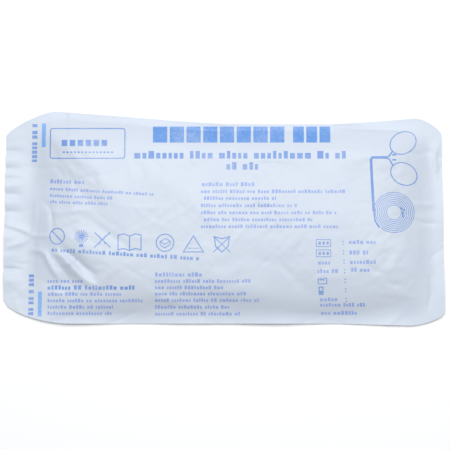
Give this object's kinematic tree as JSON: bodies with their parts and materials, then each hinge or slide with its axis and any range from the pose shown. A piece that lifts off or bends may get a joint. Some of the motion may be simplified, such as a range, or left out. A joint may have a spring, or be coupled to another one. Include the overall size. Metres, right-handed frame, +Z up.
{
  "type": "sealed nasal cannula peel pouch",
  "caption": "Flat white film pouch, heat-sealed all round over a coiled tubing set, bulging on its front web, with trimmed corners and a rippled peel tab at one end.",
  "frame": {"origin": "on the surface that the pouch lies on, under the middle of its plan", "axes": "+X along the pouch from the peel end to the closed end, +Y across it towards the top of the print, +Z up out of the printed front"},
  "size_m": [0.305, 0.15, 0.0168],
  "materials": {
    "front_film": "white polyethylene film, satin, crumpled, with blue print",
    "back_film": "white polyethylene film, satin, plain",
    "tubing": "soft clear vinyl tubing",
    "blue_ink": "flexographic ink on the film"
  },
  "bodies": {
    "root": {"front_web": "front_film", "back_web": "back_film", "coiled_set_core": "tubing"}
  },
  "joints": []
}
